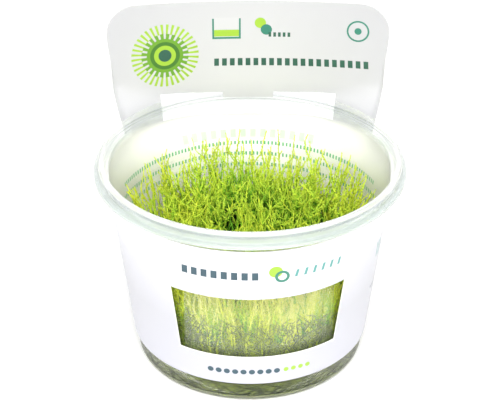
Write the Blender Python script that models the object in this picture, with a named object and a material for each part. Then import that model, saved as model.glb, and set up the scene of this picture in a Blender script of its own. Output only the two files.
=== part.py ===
# Creeping feather moss grown in a clear culture cup, with a white card sleeve round the cup.
# Metres, +Z up. The origin is the centre of the cup's foot, the sleeve's window faces -Y and its header stands at +Y.

import math
import random

import bmesh
import bpy
from mathutils import Vector

# Cup: a tapered tub of clear moulded plastic, rim 100 mm across
WALL = 0.0008
FLOOR = 0.0010
FOOT_RADIUS = 0.0376
FOOT_FILLET = 0.0022
WALL_TAPER = 0.078
SHOULDER_Z = 0.0550
SHOULDER_RISE = 0.0052
LEDGE_Z = 0.0627
LEDGE_INNER = 0.04396
LEDGE_OUTER = 0.0455
CREST_INNER = 0.04646
CREST_Z = 0.0699
BEAD_RADIUS = 0.0486
LIP_RADIUS = 0.0500
LIP_TOP = 0.0664
LIP_BOTTOM = 0.0650
EDGE_ROUND = 0.0004
CUP_STEPS = 54

# Nutrient gel: a thin set layer on the cup's floor
GEL_TOP = 0.0070
GEL_STEPS = 40
FIT_GAP = 0.00033

# Card sleeve: a band on a cone, and a header whose foot clears the rim through a slot
CARD = 0.00042
BAND_BOTTOM = 0.0083
BAND_TOP = 0.06155
BAND_BOTTOM_RADIUS = 0.03885
BAND_TOP_RADIUS = 0.0453
WINDOW_BOTTOM = 0.0194
WINDOW_TOP = 0.0432
WINDOW_HALF_ANGLE = math.radians(38.2)
WINDOW_TURN = math.radians(3.3)
WINDOW_FLARE = 0.02
WINDOW_COLUMNS = 12
HEADER_HALF_ANGLE = 0.97
HEADER_TOP = 0.1035
HEADER_CORNER = 0.0115
HEADER_CURVE = 1 / 0.220
HEADER_Y = 0.0446
HEADER_LEAN = 0.02
HEADER_ROWS = 6
SLOT_HALF_ANGLE = 0.628
SLOT_TOP = 0.07025
TAB_HALF_ANGLE = 0.18
TAB_BOTTOM = 0.0681
SIDE_COLUMNS = 11

# The back of the band swings out round the lip, level with the slot first and with the strips' edges last
BULGE_START = 0.0500
BULGE_END_SLOT = 0.0640
BULGE_END_EDGE = 0.0760
BULGE_FADE_ANGLE = 1.65
STRIP_FLARE = 0.06
STRIP_FLARE_TOP = 0.0920

# Moss: one cushion with leaning tufts grown out of it
MOSS_TOP = 0.0315
MOSS_LUMPS = 0.00175
MOSS_MOUND = 0.0060
MOUND_Y = 0.0120
MOUND_WIDTH = 0.0140
MOSS_SIDES = 30
TUFT_COUNT = 64
TUFT_SPREAD = 0.0345
TUFT_LOW = 0.0500
TUFT_HIGH = 0.0620
TUFT_LEAN = 0.0045
TUFT_SWAY = 0.0012
TUFT_OUTWARD = 1.04
TUFT_BEND = 0.45
TUFT_SUNK = 0.0060
TUFT_WALL_GAP = 0.0022
TUFT_ROOT_RADIUS = 0.0034
TUFT_MIDDLE_RADIUS = 0.0019
TUFT_TIP_RADIUS = 0.0005
TUFT_SIDES = 6
SEED = 11


def clear_scene():
    for item in list(bpy.data.objects):
        bpy.data.objects.remove(item, do_unlink=True)


def material(name, colour, roughness, transmission=0.0, ior=1.5):
    mat = bpy.data.materials.new(name)
    mat.use_nodes = True
    shader = mat.node_tree.nodes["Principled BSDF"]
    shader.inputs["Base Color"].default_value = (*colour, 1.0)
    shader.inputs["Roughness"].default_value = roughness
    shader.inputs["Metallic"].default_value = 0.0
    shader.inputs["Transmission Weight"].default_value = transmission
    shader.inputs["IOR"].default_value = ior
    return mat


def new_object(name, bm, mat):
    mesh = bpy.data.meshes.new(name)
    bm.to_mesh(mesh)
    bm.free()
    mesh.materials.append(mat)
    mesh.shade_smooth()
    mesh.set_sharp_from_angle(angle=math.radians(40))
    thing = bpy.data.objects.new(name, mesh)
    bpy.context.scene.collection.objects.link(thing)
    return thing


def smooth_step(value):
    value = min(max(value, 0.0), 1.0)
    return value * value * (3 - 2 * value)


def spaced(start, end, count):
    """Even steps from start up to, and without, end."""
    return [start + (end - start) * i / count for i in range(count)]


def arc(centre_r, centre_z, radius, start, end, count):
    """Points of a round corner, angles in degrees from outwards towards up."""
    points = []
    for i in range(count):
        angle = math.radians(start + (end - start) * i / (count - 1))
        points.append((centre_r + radius * math.cos(angle), centre_z + radius * math.sin(angle)))
    return points


def wall_outside(z):
    return FOOT_RADIUS + WALL_TAPER * z


def wall_inside(z):
    return wall_outside(z) - WALL


def turned(name, profile, steps, mat):
    """A closed body of revolution from (radius, height) points that start and end on the axis."""
    bm = bmesh.new()
    verts = [bm.verts.new((r, 0, z)) for r, z in profile]
    for a, b in zip(verts, verts[1:]):
        bm.edges.new((a, b))
    thing = new_object(name, bm, mat)
    screw = thing.modifiers.new("turn", "SCREW")
    screw.axis = "Z"
    screw.angle = math.tau
    screw.steps = steps
    screw.render_steps = steps
    screw.use_merge_vertices = True
    screw.merge_threshold = 0.00002
    screw.use_smooth_shade = True
    return thing


def cup_profile():
    """From the middle of the floor up the inside, over the crest, down the outside and under the foot."""
    inner_fillet = FOOT_FILLET - WALL
    neck = LEDGE_INNER - 0.0010
    inner = [(0, FLOOR)]
    inner += arc(wall_inside(FLOOR) - inner_fillet, FLOOR + inner_fillet, inner_fillet, -90, 0, 4)
    inner += [
        (wall_inside(SHOULDER_Z), SHOULDER_Z),
        (neck, SHOULDER_Z + SHOULDER_RISE),
        (LEDGE_INNER - 0.0001, LEDGE_Z - 0.0006),
        (LEDGE_INNER + EDGE_ROUND, LEDGE_Z),
        (LEDGE_OUTER - EDGE_ROUND, LEDGE_Z),
        (LEDGE_OUTER, LEDGE_Z + EDGE_ROUND),
    ]
    bead = (BEAD_RADIUS - CREST_INNER) / 2
    crest = arc(CREST_INNER + bead, CREST_Z - bead, bead, 180, 0, 7)
    rim = [
        (BEAD_RADIUS, LIP_TOP + EDGE_ROUND),
        (BEAD_RADIUS + EDGE_ROUND, LIP_TOP),
        (LIP_RADIUS - EDGE_ROUND, LIP_TOP),
        (LIP_RADIUS, LIP_TOP - EDGE_ROUND),
        (LIP_RADIUS, LIP_BOTTOM),
        (LIP_RADIUS - WALL, LIP_BOTTOM),
        (LIP_RADIUS - WALL, LIP_TOP - WALL),
        (CREST_INNER + WALL, LIP_TOP - WALL),
    ]
    under = LEDGE_Z - WALL
    outer = [
        (LEDGE_OUTER + WALL, under + EDGE_ROUND),
        (LEDGE_OUTER + WALL - EDGE_ROUND, under),
        (LEDGE_INNER + WALL, under),
        (neck + WALL, SHOULDER_Z + SHOULDER_RISE - EDGE_ROUND),
        (wall_outside(SHOULDER_Z), SHOULDER_Z),
    ]
    foot = arc(wall_outside(0) - FOOT_FILLET, FOOT_FILLET, FOOT_FILLET, 0, -90, 4)
    return inner + crest + rim + outer + foot + [(0, 0)]


def make_cup(mat):
    return turned("cup", cup_profile(), CUP_STEPS, mat)


def make_gel(mat):
    floor = FLOOR + FIT_GAP
    fillet = FOOT_FILLET - WALL
    side = wall_inside(floor) - FIT_GAP
    profile = [(0, GEL_TOP), (wall_inside(GEL_TOP) - FIT_GAP, GEL_TOP)]
    profile += arc(side - fillet, floor + fillet, fillet, 0, -90, 4)
    profile += [(0, floor)]
    return turned("nutrient_gel", profile, GEL_STEPS, mat)


def band_radius(z):
    taper = (BAND_TOP_RADIUS - BAND_BOTTOM_RADIUS) / (BAND_TOP - BAND_BOTTOM)
    return BAND_BOTTOM_RADIUS + taper * (z - BAND_BOTTOM)


def header_offset(turn, z):
    """How far a point of the cone moves to lie on the nearly flat header, in plan."""
    radius = band_radius(z)
    bent = radius * turn * HEADER_CURVE
    step_in = smooth_step((z - BAND_TOP) / (TAB_BOTTOM - BAND_TOP))
    centre = BAND_TOP_RADIUS + (HEADER_Y - BAND_TOP_RADIUS) * step_in + HEADER_LEAN * max(z - SLOT_TOP, 0)
    on_header = Vector((math.sin(bent), math.cos(bent) - 1)) / HEADER_CURVE + Vector((0, centre))
    return on_header - Vector((math.sin(turn), math.cos(turn))) * radius


def card_point(angle, z):
    """The card's middle surface. angle is measured round the cone from the header's centre line."""
    turn = abs(angle)
    held = min(turn, HEADER_HALF_ANGLE)
    along = smooth_step((held - TAB_HALF_ANGLE) / (HEADER_HALF_ANGLE - TAB_HALF_ANGLE))
    end = BULGE_END_SLOT + (BULGE_END_EDGE - BULGE_END_SLOT) * along
    share = smooth_step((z - BULGE_START) / (end - BULGE_START))
    fade = 1 - smooth_step((turn - HEADER_HALF_ANGLE) / (BULGE_FADE_ANGLE - HEADER_HALF_ANGLE))
    shift = header_offset(held, z) * share * fade
    outwards = shift.dot(Vector((math.sin(held), math.cos(held))))
    sideways = shift.dot(Vector((math.cos(held), -math.sin(held))))
    point = Vector((math.sin(turn), math.cos(turn))) * (band_radius(z) + outwards)
    point += Vector((math.cos(turn), -math.sin(turn))) * sideways
    return Vector((math.copysign(point.x, angle), point.y, z))


def back_angle(angle, z):
    """Column angle at a height, where the header's strips widen down into the band."""
    turn = abs(angle)
    if turn < HEADER_HALF_ANGLE:
        near = turn / HEADER_HALF_ANGLE
    else:
        near = max(0, (BULGE_FADE_ANGLE - turn) / (BULGE_FADE_ANGLE - HEADER_HALF_ANGLE))
    above = max(0, (STRIP_FLARE_TOP - z) / (STRIP_FLARE_TOP - BAND_TOP)) ** 2
    below = smooth_step((z - BULGE_START) / (BAND_TOP - BULGE_START))
    return math.copysign(turn + STRIP_FLARE * near * (above if z > BAND_TOP else below), angle)


def front_angle(offset, z):
    """Column angle from the window's centre line, where the window widens a little upwards."""
    middle = (WINDOW_BOTTOM + WINDOW_TOP) / 2
    lift = (z - middle) / (WINDOW_TOP - middle)
    angle = math.pi - WINDOW_TURN + offset * (1 + WINDOW_FLARE * min(max(lift, -1), 1))
    return angle if angle <= math.pi else angle - math.tau


def back_columns():
    """Column angles of one half of the header: tab, slot, strip and round top corner."""
    angles = [0.0] + spaced(TAB_HALF_ANGLE, SLOT_HALF_ANGLE, 4) + [SLOT_HALF_ANGLE]
    corner_start = HEADER_HALF_ANGLE - HEADER_CORNER / band_radius(HEADER_TOP)
    for degrees in (0, 25, 48, 70, 90):
        share = math.sin(math.radians(degrees))
        angles.append(corner_start + (HEADER_HALF_ANGLE - corner_start) * share)
    return angles


def header_edge(angle):
    """Height of the header's top edge over a column, with round corners."""
    over = (abs(angle) - HEADER_HALF_ANGLE) * band_radius(HEADER_TOP) + HEADER_CORNER
    if over <= 0:
        return HEADER_TOP
    return HEADER_TOP - HEADER_CORNER + math.sqrt(max(HEADER_CORNER ** 2 - over ** 2, 0))


def make_band(bm, back, rows):
    """The ring of card with its window left open. Returns the points of its top row at the back."""
    side_end = math.pi - WINDOW_TURN - WINDOW_HALF_ANGLE
    other_end = math.pi + WINDOW_TURN - WINDOW_HALF_ANGLE
    right = spaced(HEADER_HALF_ANGLE, side_end, SIDE_COLUMNS)[1:]
    left = [-a for a in reversed(spaced(HEADER_HALF_ANGLE, other_end, SIDE_COLUMNS)[1:])]
    window = spaced(-WINDOW_HALF_ANGLE, WINDOW_HALF_ANGLE, WINDOW_COLUMNS) + [WINDOW_HALF_ANGLE]
    columns = [(back_angle, a) for a in back + right]
    columns += [(front_angle, a) for a in window]
    columns += [(back_angle, a) for a in left]
    grid = [[bm.verts.new(card_point(place(a, z), z)) for z in rows] for place, a in columns]
    for i, column in enumerate(grid):
        k = (i + 1) % len(grid)
        in_window = columns[i][0] is front_angle and columns[k][0] is front_angle
        for j in range(len(rows) - 1):
            if in_window and rows[j] == WINDOW_BOTTOM:
                continue
            bm.faces.new((column[j], grid[k][j], grid[k][j + 1], column[j + 1]))
    return [column[-1] for column in grid[:len(back)]]


def make_header(bm, back, band_edge):
    """The header over the band's back: two strips beside the slot, the tab in it and the card above."""
    strip = [BAND_TOP, 0.0640, 0.0662, TAB_BOTTOM, SLOT_TOP]
    grid = []
    for angle, foot in zip(back, band_edge):
        over_slot = abs(angle) < SLOT_HALF_ANGLE
        over_tab = abs(angle) <= TAB_HALF_ANGLE
        column = []
        for z in strip:
            open_here = over_slot and z < SLOT_TOP and not (over_tab and z == TAB_BOTTOM)
            if z == BAND_TOP:
                column.append(None if open_here else foot)
            else:
                column.append(None if open_here else bm.verts.new(card_point(back_angle(angle, z), z)))
        for z in spaced(SLOT_TOP, header_edge(angle), HEADER_ROWS)[1:] + [header_edge(angle)]:
            column.append(bm.verts.new(card_point(back_angle(angle, z), z)))
        grid.append(column)
    for left, right in zip(grid, grid[1:]):
        for j in range(len(left) - 1):
            corners = (left[j], right[j], right[j + 1], left[j + 1])
            if None not in corners:
                bm.faces.new(corners)


def make_sleeve(mat):
    half = back_columns()
    back = [-a for a in reversed(half)] + half[1:]
    rows = [BAND_BOTTOM, WINDOW_BOTTOM, WINDOW_TOP, BULGE_START, 0.0540, 0.0580, BAND_TOP]
    bm = bmesh.new()
    band_edge = make_band(bm, back, rows)
    make_header(bm, back, band_edge)
    sleeve = new_object("sleeve", bm, mat)
    solid = sleeve.modifiers.new("card", "SOLIDIFY")
    solid.thickness = CARD
    solid.offset = 0.0
    solid.use_even_offset = True
    return sleeve


def moss_height(x, y):
    """Gently lumpy top of the cushion, with a mound behind the middle."""
    waves = math.sin(190 * x + 1.3) * math.cos(170 * y + 0.4) + 0.6 * math.sin(330 * x - 250 * y)
    mound = math.exp(-(x * x + (y - MOUND_Y) ** 2) / (2 * MOUND_WIDTH ** 2))
    return MOSS_TOP + MOSS_LUMPS * waves + MOSS_MOUND * mound


def ring_of(bm, radius, height):
    """A ring of points, at one height or lying on the cushion's top."""
    ring = []
    for i in range(MOSS_SIDES):
        angle = math.tau * i / MOSS_SIDES
        x, y = radius * math.cos(angle), radius * math.sin(angle)
        ring.append(bm.verts.new((x, y, moss_height(x, y) if height is None else height)))
    return ring


def moss_cushion():
    bm = bmesh.new()
    bottom = GEL_TOP + FIT_GAP
    loops = [ring_of(bm, wall_inside(z) - FIT_GAP, z) for z in (bottom, MOSS_TOP * 0.6, MOSS_TOP * 0.9)]
    loops += [ring_of(bm, wall_inside(MOSS_TOP) * share, None) for share in (0.96, 0.76, 0.54, 0.28)]
    for low, high in zip(loops, loops[1:]):
        for i in range(MOSS_SIDES):
            k = (i + 1) % MOSS_SIDES
            bm.faces.new((low[i], low[k], high[k], high[i]))
    base = bm.verts.new((0, 0, bottom))
    peak = bm.verts.new((0, 0, moss_height(0, 0)))
    for i in range(MOSS_SIDES):
        k = (i + 1) % MOSS_SIDES
        bm.faces.new((loops[0][k], loops[0][i], base))
        bm.faces.new((loops[-1][i], loops[-1][k], peak))
    return bm


def tuft_layout():
    """Root, middle and tip of each tuft, set out on a sunflower spiral."""
    rng = random.Random(SEED)
    golden = math.pi * (3 - math.sqrt(5))
    layout = []
    for k in range(TUFT_COUNT):
        spread = TUFT_SPREAD * math.sqrt((k + 0.5) / TUFT_COUNT)
        root = Vector((spread * math.cos(golden * k), spread * math.sin(golden * k)))
        height = rng.uniform(TUFT_LOW, TUFT_HIGH)
        tip = root * TUFT_OUTWARD + Vector((rng.uniform(-1, 1), rng.uniform(-1, 1))) * TUFT_LEAN
        limit = wall_inside(height) - TUFT_WALL_GAP
        if tip.length > limit:
            tip *= limit / tip.length
        sway = Vector((rng.uniform(-1, 1), rng.uniform(-1, 1))) * TUFT_SWAY
        middle = root.lerp(tip, TUFT_BEND) + sway
        layout.append((
            root.to_3d() + Vector((0, 0, MOSS_TOP - TUFT_SUNK)),
            middle.to_3d() + Vector((0, 0, MOSS_TOP + (height - MOSS_TOP) * TUFT_BEND)),
            tip.to_3d() + Vector((0, 0, height)),
        ))
    return layout


def add_tuft(bm, root, middle, tip):
    loops = []
    for centre, radius in ((root, TUFT_ROOT_RADIUS), (middle, TUFT_MIDDLE_RADIUS), (tip, TUFT_TIP_RADIUS)):
        loop = []
        for i in range(TUFT_SIDES):
            angle = math.tau * i / TUFT_SIDES
            loop.append(bm.verts.new(centre + Vector((math.cos(angle), math.sin(angle), 0)) * radius))
        loops.append(loop)
    for low, high in zip(loops, loops[1:]):
        for i in range(TUFT_SIDES):
            k = (i + 1) % TUFT_SIDES
            bm.faces.new((low[i], low[k], high[k], high[i]))
    bm.faces.new(list(reversed(loops[0])))
    bm.faces.new(loops[-1])


def make_moss(mat):
    moss = new_object("moss", moss_cushion(), mat)
    bm = bmesh.new()
    for root, middle, tip in tuft_layout():
        add_tuft(bm, root, middle, tip)
    tufts = new_object("tufts", bm, mat)
    tufts.hide_render = True
    tufts.display_type = "WIRE"
    union = moss.modifiers.new("tufts", "BOOLEAN")
    union.operation = "UNION"
    union.solver = "EXACT"
    union.use_self = True
    union.object = tufts
    return moss


def main():
    clear_scene()
    make_cup(material("clear polypropylene", (0.93, 0.96, 0.95), 0.08, transmission=1.0, ior=1.49))
    make_gel(material("nutrient gel", (0.55, 0.58, 0.38), 0.25, transmission=0.8, ior=1.34))
    make_moss(material("living moss", (0.30, 0.52, 0.06), 0.65))
    make_sleeve(material("white card", (0.88, 0.88, 0.88), 0.45))


main()
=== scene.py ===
# Creeping feather moss on gel in a clear culture cup, with its white card sleeve.
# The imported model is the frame: metres, +Z up, the window towards -Y and the header at +Y.
import math
import random

import bpy
import numpy as np
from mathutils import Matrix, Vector


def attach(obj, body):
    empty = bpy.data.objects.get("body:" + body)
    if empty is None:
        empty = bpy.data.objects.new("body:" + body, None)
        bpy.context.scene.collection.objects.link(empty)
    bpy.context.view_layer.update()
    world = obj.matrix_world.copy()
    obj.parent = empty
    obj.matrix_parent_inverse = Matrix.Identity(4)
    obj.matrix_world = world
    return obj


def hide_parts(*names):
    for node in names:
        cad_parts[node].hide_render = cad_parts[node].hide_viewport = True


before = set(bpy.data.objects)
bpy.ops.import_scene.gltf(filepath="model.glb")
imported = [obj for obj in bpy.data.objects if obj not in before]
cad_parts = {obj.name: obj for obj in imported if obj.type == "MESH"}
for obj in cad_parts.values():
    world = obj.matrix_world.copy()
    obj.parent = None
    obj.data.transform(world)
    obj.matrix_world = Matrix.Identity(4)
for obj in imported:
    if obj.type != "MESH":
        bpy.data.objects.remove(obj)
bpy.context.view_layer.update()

print("frame loaded:", ", ".join(sorted(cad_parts)))


# small helpers used by every piece


def hexColour(code):  # an sRGB hex value as linear red, green, blue and alpha
    parts = [int(code[i:i + 2], 16) / 255 for i in (1, 3, 5)]
    return [c / 12.92 if c <= 0.04045 else ((c + 0.055) / 1.055) ** 2.4 for c in parts] + [1.0]


def addNode(tree, kind, sockets=(), give=0, stops=(), **settings):
    # a socket takes a value, a hex colour or another node's output, and a colour ramp has stops
    node = tree.nodes.new(kind)
    for name, value in settings.items():
        setattr(node, name, value)
    for socket, value in (sockets if isinstance(sockets, dict) else dict(enumerate(sockets))).items():
        if isinstance(value, bpy.types.NodeSocket):
            tree.links.new(value, node.inputs[socket])
        else:
            node.inputs[socket].default_value = hexColour(value) if isinstance(value, str) else value
    while stops and len(node.color_ramp.elements) < len(stops):
        node.color_ramp.elements.new(0.5)
    for index, (place, code) in enumerate(stops):
        node.color_ramp.elements[index].position = place
        node.color_ramp.elements[index].color = hexColour(code)
    return node.outputs[give] if node.outputs else node


def newMaterial(name):
    material = bpy.data.materials.new(name)
    material.use_nodes = True
    material.node_tree.nodes.clear()
    return material, material.node_tree


def finishMaterial(tree, sockets):
    surface = addNode(tree, "ShaderNodeBsdfPrincipled", sockets)
    addNode(tree, "ShaderNodeOutputMaterial", (surface,))


def deselectAll():
    if bpy.context.object and bpy.context.object.mode != "OBJECT":
        bpy.ops.object.mode_set(mode="OBJECT")
    bpy.ops.object.select_all(action="DESELECT")


def selectOnly(piece):
    deselectAll()
    piece.select_set(True)
    bpy.context.view_layer.objects.active = piece


def smoothStep(value):
    value = min(max(value, 0.0), 1.0)
    return value * value * (3 - 2 * value)


def arcRings(centreRadius, centreHeight, radius, start, end, steps):
    angles = [math.radians(start + (end - start) * k / steps) for k in range(steps + 1)]
    return [(centreRadius + radius * math.cos(a), centreHeight + radius * math.sin(a)) for a in angles]


def turnedShell(name, rings, segments):  # a closed round body, drawn out ring by ring from its first disc
    deselectAll()
    radius, height = rings[0]
    bpy.ops.mesh.primitive_circle_add(vertices=segments, radius=radius, fill_type="NGON",
                                      location=(0, 0, height))
    shell = bpy.context.object
    shell.name = name
    shell.data.name = name
    bpy.ops.object.transform_apply(location=True, rotation=True, scale=True)
    bpy.ops.object.mode_set(mode="EDIT")
    bpy.ops.mesh.select_mode(type="EDGE")
    bpy.ops.mesh.select_all(action="SELECT")
    bpy.ops.mesh.region_to_loop()
    for nextRadius, nextHeight in rings[1:]:
        bpy.ops.mesh.extrude_edges_move(TRANSFORM_OT_translate={"value": (0, 0, nextHeight - height)})
        factor = nextRadius / radius
        bpy.ops.transform.resize(value=(factor, factor, 1), center_override=(0, 0, nextHeight))
        radius, height = nextRadius, nextHeight
    bpy.ops.mesh.edge_face_add()
    bpy.ops.mesh.select_all(action="SELECT")
    bpy.ops.mesh.normals_make_consistent(inside=False)
    bpy.ops.object.mode_set(mode="OBJECT")
    return shell


def setMaterials(piece, *materials):
    piece.data.materials.clear()
    for material in materials:
        piece.data.materials.append(material)


def fitPiece(piece, slotName, *nodeNames):
    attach(piece, "root")
    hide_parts(*nodeNames)


# camera, floor and light

viewSettings = {
    "location": (-0.00715, -0.45512, 0.31934),
    "pitch": 59.674,
    "turn": -0.9,
    "lens": 116.98,
    "sensor": 36,
    "nearest": 0.01,
}

deselectAll()
cameraData = bpy.data.cameras.new("camera")
cameraData.sensor_width = viewSettings["sensor"]
cameraData.lens = viewSettings["lens"]
cameraData.clip_start = viewSettings["nearest"]
camera = bpy.data.objects.new("camera", cameraData)
camera.location = viewSettings["location"]
camera.rotation_euler = (math.radians(viewSettings["pitch"]), 0, math.radians(viewSettings["turn"]))
bpy.context.scene.collection.objects.link(camera)
bpy.context.scene.camera = camera

studioSettings = {
    "floorSize": 6.0,
    "floorColour": "#F8F8F8",
    "skyColour": "#FFFFFC",
    "floorGlow": 0.16,  # the paper lies on a light table
    "skyStrength": 0.37,
    "lamps": {  # place, aimed at, width, depth, watts
        "keySoftbox": ((0, -0.90, 1.52), (0, 0, 0.04), 1.6, 0.7, 40.0),
        "frontFill": ((0, -1.40, 0.60), (0, 0, 0.03), 1.0, 0.5, 11.0),
    },
}

bpy.context.scene.view_settings.view_transform = "Standard"
bpy.context.scene.view_settings.look = "None"
world = bpy.data.worlds.new("paleStudio")
bpy.context.scene.world = world
world.use_nodes = True
world.node_tree.nodes.clear()
sky = addNode(world.node_tree, "ShaderNodeBackground",
              {"Color": studioSettings["skyColour"], "Strength": studioSettings["skyStrength"]})
addNode(world.node_tree, "ShaderNodeOutputWorld", (sky,))

for lampName, (place, aim, width, depth, watts) in studioSettings["lamps"].items():
    lampData = bpy.data.lights.new(lampName, "AREA")
    lampData.shape = "RECTANGLE"
    lampData.size = width
    lampData.size_y = depth
    lampData.energy = watts
    lamp = bpy.data.objects.new(lampName, lampData)
    lamp.location = place
    lamp.rotation_euler = (Vector(aim) - Vector(place)).to_track_quat("-Z", "Y").to_euler()
    bpy.context.scene.collection.objects.link(lamp)

deselectAll()
bpy.ops.mesh.primitive_plane_add(size=studioSettings["floorSize"], location=(0, 0, 0))
floor = bpy.context.object
floor.name = "studioFloor"
floorMaterial, tree = newMaterial("seamlessPaper")  # matt white photo paper
finishMaterial(tree, {"Base Color": studioSettings["floorColour"], "Roughness": 0.9, "Specular IOR Level": 0.1,
                      "Emission Color": "#FFFFFF", "Emission Strength": studioSettings["floorGlow"]})
setMaterials(floor, floorMaterial)
print("camera, floor and light ready")


# cup: clear moulded plastic

cupSettings = {
    "segments": 256,
    "wall": 0.0008,
    "footWall": 0.0003,  # the wall and floor are thinner where the gel lies, up to the foot's step
    "footFloor": 0.0006,
    "footStep": (0.0071, 0.0080),
    "footRadius": 0.0376,
    "footFillet": 0.0022,
    "taper": 0.078,
    "wallHeights": (0.012, 0.025, 0.040),
    "shoulder": (0.0550, 0.0052),  # height and rise
    "shoulderBend": (0.00004, 0.0008),  # how far in and how far down it starts
    "shoulderEnd": (0.0010, 0.0004),  # how far inside the ledge, and how much lower underneath
    "ledgeHeight": 0.0627,
    "ledgeInner": 0.04396,
    "ledgeOuter": 0.0455,
    "ledgeFoot": (0.0001, 0.0006),
    "ledgeRound": (0.00038, 0.00045),  # middle and radius of the arc at its inner edge
    "crestInner": 0.04646,
    "crestHeight": 0.0699,
    "beadRadius": 0.0486,
    "lipRadius": 0.0500,
    "lipTop": 0.0664,
    "lipBottom": 0.0650,
    "lipRound": 0.00012,
    "lipCorner": 0.0001,
    "edgeRound": 0.0004,
    "discRadius": 0.0020,
    # by height: how much of the plastic shows, how clear that part of it is, and its tint, with painted
    # reflection lines and a painted highlight along the rim
    "body": [(0.0084, "#CBCBCB"), (0.0095, "#5A5A5A"), (0.0450, "#5A5A5A"), (0.0470, "#4C4C4C"),
             (0.0636, "#4C4C4C"), (0.0646, "#E1E1E1")],
    "clear": [(0.0084, "#FFFFFF"), (0.0095, "#D9D9D9"), (0.0450, "#D9D9D9"), (0.0470, "#FFFFFF"),
              (0.0612, "#FFFFFF"), (0.0630, "#C4C4C4")],
    # from 0.0648 up the darker bands are painted reflections, and the white at the crest is a painted
    # highlight
    "tintAndPaintedLines": [(0.0084, "#D6DCAC"), (0.0095, "#FAFFFE"), (0.0612, "#FAFFFE"), (0.0648, "#EAEEEC"),
             (0.0664, "#D2DDD9"), (0.0678, "#D4DBDE"), (0.0683, "#ACB4C4"), (0.0687, "#BCC2D2"),
             (0.0691, "#FFFFFF")],
    # the painted reflection: middle and reach to the sides, middle and reach in height, and how much clearer
    # the plastic is beside it
    "paintedReflectionAcross": (0.0024, 0.0235),
    "paintedReflectionUp": (0.0280, 0.0185),
    "paintedReflectionShare": 0.8,
    "rimShare": {"From Min": 0.03, "From Max": -0.03, "To Min": 0.4, "To Max": 1.0},
    "rimFoot": 0.05,
}


def wallOutside(height):
    return cupSettings["footRadius"] + cupSettings["taper"] * height


def wallInside(height):
    return wallOutside(height) - cupSettings["wall"]


def footInside(height):
    return wallOutside(height) - cupSettings["footWall"]


def cupRings():
    s = cupSettings
    wall, small, tiny = s["wall"], s["edgeRound"], s["lipRound"]
    shoulder, shoulderTop = s["shoulder"][0], sum(s["shoulder"])
    innerFillet = s["footFillet"] - s["footWall"]
    halfCrest = (s["beadRadius"] - s["crestInner"]) / 2
    heights = [*s["wallHeights"], shoulder - s["shoulderBend"][1]]
    stepFoot, stepTop = s["footStep"]
    neck = s["ledgeInner"] - s["shoulderEnd"][0]
    arcPlace, arcRadius = s["ledgeRound"]
    lipInside, lipUnder = s["lipRadius"] - wall, s["lipTop"] - wall
    floorInside = footInside(s["footFloor"]) - innerFillet
    rings = [(s["discRadius"], s["footFloor"])]
    rings += arcRings(floorInside, s["footFloor"] + innerFillet, innerFillet, -90, 0, 8)
    rings += [(footInside(stepFoot), stepFoot), (wallInside(stepTop), stepTop)]
    rings += [(wallInside(h), h) for h in heights]
    rings += [(wallInside(shoulder) + s["shoulderBend"][0], shoulder), (neck, shoulderTop)]
    rings += [(s["ledgeInner"] - s["ledgeFoot"][0], s["ledgeHeight"] - s["ledgeFoot"][1])]
    rings += arcRings(s["ledgeInner"] + arcPlace, s["ledgeHeight"] - arcRadius, arcRadius, 170, 90, 5)
    rings += arcRings(s["ledgeOuter"] - small, s["ledgeHeight"] + small, small, -90, 0, 5)
    rings += arcRings(s["crestInner"] + halfCrest, s["crestHeight"] - halfCrest, halfCrest, 176, 2, 14)
    rings += arcRings(s["beadRadius"] + small, s["lipTop"] + small, small, 180, 270, 4)
    rings += arcRings(s["lipRadius"] - small, s["lipTop"] - small, small, 90, 0, 5)
    rings += [(s["lipRadius"], s["lipBottom"] + tiny), (s["lipRadius"] - tiny, s["lipBottom"])]
    rings += [(lipInside + tiny, s["lipBottom"]), (lipInside, s["lipBottom"] + tiny)]
    rings += [(lipInside, lipUnder - s["lipCorner"]), (lipInside - s["lipCorner"], lipUnder)]
    rings += [(s["crestInner"] + wall, lipUnder)]
    rings += arcRings(s["ledgeOuter"] + wall - small, s["ledgeHeight"] - wall + small, small, 0, -90, 4)
    rings += [(s["ledgeInner"] + wall, s["ledgeHeight"] - wall)]
    rings += [(neck + wall, shoulderTop - s["shoulderEnd"][1]), (wallOutside(shoulder), shoulder)]
    rings += [(wallOutside(h), h) for h in reversed(heights)]
    rings += arcRings(wallOutside(0) - s["footFillet"], s["footFillet"], s["footFillet"], 4, -90, 9)
    return rings + [(s["discRadius"], 0.0)]


cup = turnedShell("clearCup", cupRings(), cupSettings["segments"])
selectOnly(cup)
bpy.ops.object.shade_smooth_by_angle(angle=math.radians(38))

# glossy moulded plastic; the grey, green and lilac bands along its rim are painted reflections and the white
# crest line a painted highlight
plasticMaterial, tree = newMaterial("clearPolypropylene")
place = addNode(tree, "ShaderNodeTexCoord", give="Object")
axes = addNode(tree, "ShaderNodeSeparateXYZ", (place,)).node.outputs
height = axes["Z"]
share = addNode(tree, "ShaderNodeMath", (height, cupSettings["crestHeight"]), operation="DIVIDE")
body, clear, tintAndPaintedLines = (
    addNode(tree, "ShaderNodeValToRGB", (share,),
            stops=[(mark / cupSettings["crestHeight"], code) for mark, code in cupSettings[key]])
    for key in ("body", "clear", "tintAndPaintedLines"))
body, clear = (addNode(tree, "ShaderNodeSeparateColor", (ramp,)) for ramp in (body, clear))
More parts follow.
